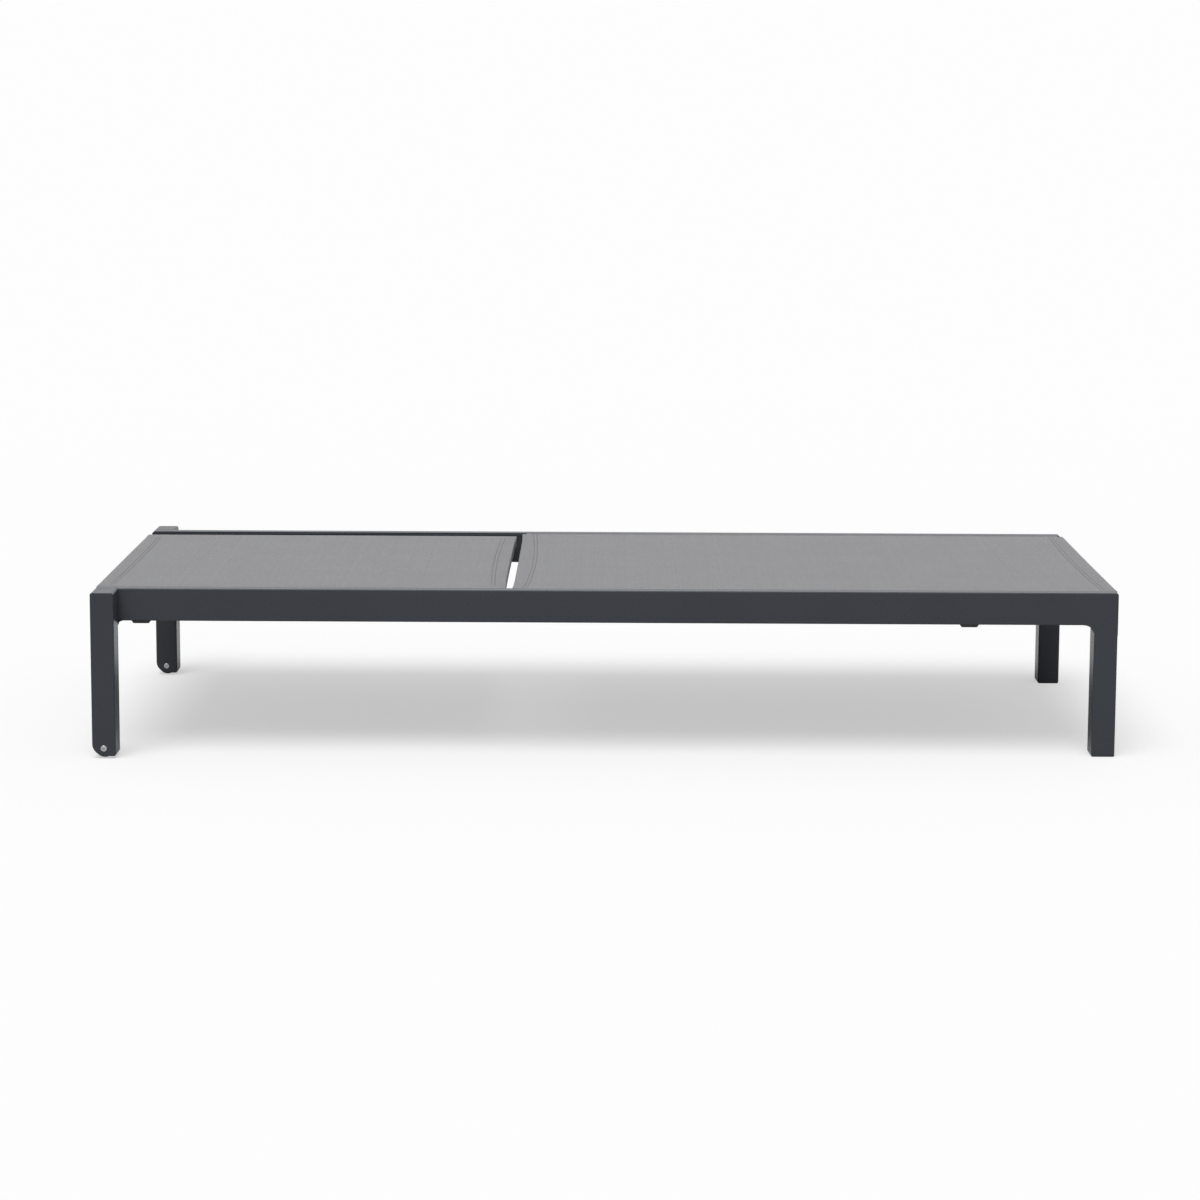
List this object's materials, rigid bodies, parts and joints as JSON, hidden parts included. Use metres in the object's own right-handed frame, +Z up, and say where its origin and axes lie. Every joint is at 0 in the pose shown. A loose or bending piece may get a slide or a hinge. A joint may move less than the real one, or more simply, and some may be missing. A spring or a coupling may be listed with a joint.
{
  "type": "reclining sun lounger",
  "caption": "Low sun lounger: slim dark metal frame, taut fabric seat and a sling backrest that tilts on a propped stay, with wheels hidden in the head legs.",
  "frame": {"origin": "middle of the footprint, on the ground", "axes": "+X towards the foot end, +Y to the left of a person lying on it, +Z up"},
  "size_m": [2, 0.8032, 0.327],
  "materials": {
    "powder_coat": "anthracite fine-texture powder coat, matt",
    "sling": "mid grey woven PVC-coated polyester mesh",
    "keder": "black PVC cord",
    "stainless": "stainless steel",
    "nylon": "dark nylon",
    "rubber": "black elastomer"
  },
  "bodies": {
    "frame": {"rail_right": "powder_coat", "rail_left": "powder_coat", "rail_caps_head": "powder_coat", "foot_leg_right": "powder_coat", "foot_leg_left": "powder_coat", "foot_glides": "nylon", "head_leg_right": "powder_coat", "head_leg_left": "powder_coat", "head_leg_bolts": "stainless", "wheel_axle_right": "stainless", "wheel_axle_left": "stainless", "axle_caps": "stainless", "wheel_spacers": "nylon", "seat_hip_tube": "powder_coat", "seat_foot_tube": "powder_coat", "head_crossbar": "powder_coat", "foot_crossbar": "powder_coat", "hinge_brace_bar": "powder_coat", "seat_brace_hip": "powder_coat", "seat_brace_foot": "powder_coat", "seat_sling": "sling", "seat_keder_right": "keder", "seat_keder_left": "keder", "hinge_boss_right": "powder_coat", "hinge_boss_left": "powder_coat", "boss_screws": "stainless", "hinge_bolts": "stainless", "rack_right": "nylon", "rack_left": "nylon", "rack_screws": "stainless", "rest_buffers": "rubber", "stacking_pads_head": "rubber", "stacking_pads_foot": "rubber", "pad_screws": "stainless"},
    "backrest": {"back_tube_right": "powder_coat", "back_tube_left": "powder_coat", "back_tube_plugs": "nylon", "back_head_tube": "powder_coat", "back_hip_tube": "powder_coat", "back_spreader": "powder_coat", "back_sling": "sling", "back_keder_right": "keder", "back_keder_left": "keder", "hinge_bracket_right": "powder_coat", "hinge_bracket_left": "powder_coat", "hinge_bushes": "nylon", "stay_bracket_right": "powder_coat", "stay_bracket_left": "powder_coat", "stay_pins": "stainless"},
    "stay": {"stay_arm_right": "powder_coat", "stay_arm_left": "powder_coat", "stay_rod": "powder_coat", "stay_sliders": "nylon", "stay_washers": "nylon"},
    "wheel_right": {"wheel_hub_right": "nylon", "wheel_tyre_right": "rubber"},
    "wheel_left": {"wheel_hub_left": "nylon", "wheel_tyre_left": "rubber"}
  },
  "joints": [
    {"name": "backrest_hinge", "type": "hinge", "parent": "frame", "child": "backrest", "pos_m": [-0.25, 0, 0.284], "axis": [0, 1, 0], "range_deg": [0, 62]},
    {"name": "stay_pivot", "type": "hinge", "parent": "backrest", "child": "stay", "pos_m": [-0.58, 0, 0.284], "axis": [0, 1, 0], "range_deg": [-126, 0]},
    {"name": "wheel_right_spin", "type": "hinge", "parent": "frame", "child": "wheel_right", "pos_m": [-0.977, -0.375, 0.02], "axis": [0, 1, 0], "continuous": true},
    {"name": "wheel_left_spin", "type": "hinge", "parent": "frame", "child": "wheel_left", "pos_m": [-0.977, 0.375, 0.02], "axis": [0, 1, 0], "continuous": true}
  ],
  "couplings": [
    {"joint": "stay_pivot", "follows": "backrest_hinge", "ratio": -2}
  ]
}
